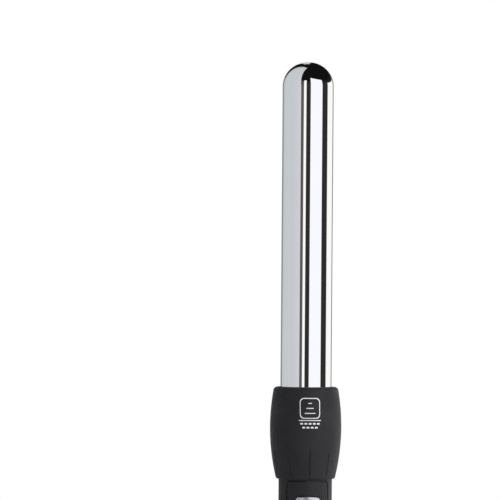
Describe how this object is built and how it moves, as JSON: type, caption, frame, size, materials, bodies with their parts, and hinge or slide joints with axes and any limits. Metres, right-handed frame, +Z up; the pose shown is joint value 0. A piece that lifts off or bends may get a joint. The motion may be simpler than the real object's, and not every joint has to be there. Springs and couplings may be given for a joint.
{
  "type": "curling wand",
  "caption": "Upright electric curling wand with a chrome barrel, a soft twist-lock collar, a control panel with display and buttons, and a swivelling cord inlet.",
  "frame": {"origin": "centre of the end cap's flat foot, on the wand's axis", "axes": "+Z runs up the axis from the foot to the domed tip, -Y is the front with the control panel, +X is to the viewer's right"},
  "size_m": [0.0354, 0.0354, 0.3473],
  "materials": {
    "chrome": "mirror polish",
    "soft_rubber": "matt soft-touch",
    "handle_plastic": "fine satin texture",
    "panel_plastic": "satin",
    "satin_silver": "satin",
    "smoked_lens": "smoked, polished",
    "lcd": "flat grey",
    "heatproof_plastic": "glass-filled, matt",
    "ceramic": "unglazed ceramic, matt",
    "aluminium": "as extruded",
    "steel": "bright",
    "brass": "bright",
    "board_green": "solder mask",
    "component_black": "matt",
    "capacitor_yellow": "moulded",
    "lead_red": "silicone insulation",
    "lead_white": "silicone insulation",
    "lead_blue": "silicone insulation",
    "print_ink": "pad-printed, matt"
  },
  "bodies": {
    "handle": {"board_fuse": "ceramic", "brush_holder": "heatproof_plastic", "centre_brush": "brass", "circuit_board": "board_green", "contact_blade_1": "brass", "contact_blade_2": "brass", "contact_blade_3": "brass", "contact_blade_4": "brass", "contact_block": "ceramic", "control_panel": "panel_plastic", "controller_chip": "component_black", "display_bezel": "satin_silver", "display_lens": "smoked_lens", "display_module": "lcd", "end_cap": "handle_plastic", "front_shell": "handle_plastic", "lock_ring": "steel", "minus_switch": "component_black", "plus_switch": "component_black", "power_switch": "component_black", "rear_shell": "handle_plastic", "ring_brush": "brass", "shell_screw_1": "steel", "shell_screw_2": "steel", "socket_lead_1": "lead_white", "socket_lead_2": "lead_white", "socket_lead_3": "lead_red", "socket_lead_4": "lead_red", "supply_lead_1": "lead_blue", "supply_lead_2": "lead_red", "suppression_capacitor": "capacitor_yellow", "swivel_retainer": "heatproof_plastic", "triac": "component_black"},
    "barrel_unit": {"barrel_tube": "chrome", "barrel_foot_ring": "steel", "barrel_base": "heatproof_plastic", "collar_sleeve": "soft_rubber", "collar_carrier": "heatproof_plastic", "collar_screw_1": "steel", "collar_screw_2": "steel", "collar_screw_3": "steel", "insulator_disc": "ceramic", "front_heat_spreader": "aluminium", "rear_heat_spreader": "aluminium", "ceramic_heater": "ceramic", "temperature_sensor": "ceramic", "contact_pin_1": "brass", "contact_pin_2": "brass", "contact_pin_3": "brass", "contact_pin_4": "brass", "heater_lead_1": "lead_white", "heater_lead_2": "lead_white", "sensor_lead_1": "lead_red", "sensor_lead_2": "lead_red"},
    "swivel": {"swivel_gland": "component_black", "slip_ring": "brass", "centre_contact": "brass"},
    "power_button": {"power_button": "panel_plastic"},
    "plus_button": {"plus_button": "panel_plastic"},
    "minus_button": {"minus_button": "panel_plastic"}
  },
  "joints": [
    {"name": "barrel_twist", "type": "hinge", "parent": "handle", "child": "barrel_unit", "pos_m": [0, 0, 0.1553], "axis": [0, 0, 1], "range_deg": [0, 35]},
    {"name": "swivel_turn", "type": "hinge", "parent": "handle", "child": "swivel", "pos_m": [0, 0, 0.0075], "axis": [0, 0, 1], "continuous": true},
    {"name": "power_press", "type": "slide", "parent": "handle", "child": "power_button", "axis": [0, 1, 0], "range_m": [0, 0.0005], "stiffness_N_per_m": 400},
    {"name": "plus_press", "type": "slide", "parent": "handle", "child": "plus_button", "axis": [0, 1, 0], "range_m": [0, 0.0005], "stiffness_N_per_m": 400},
    {"name": "minus_press", "type": "slide", "parent": "handle", "child": "minus_button", "axis": [0, 1, 0], "range_m": [0, 0.0005], "stiffness_N_per_m": 400}
  ]
}
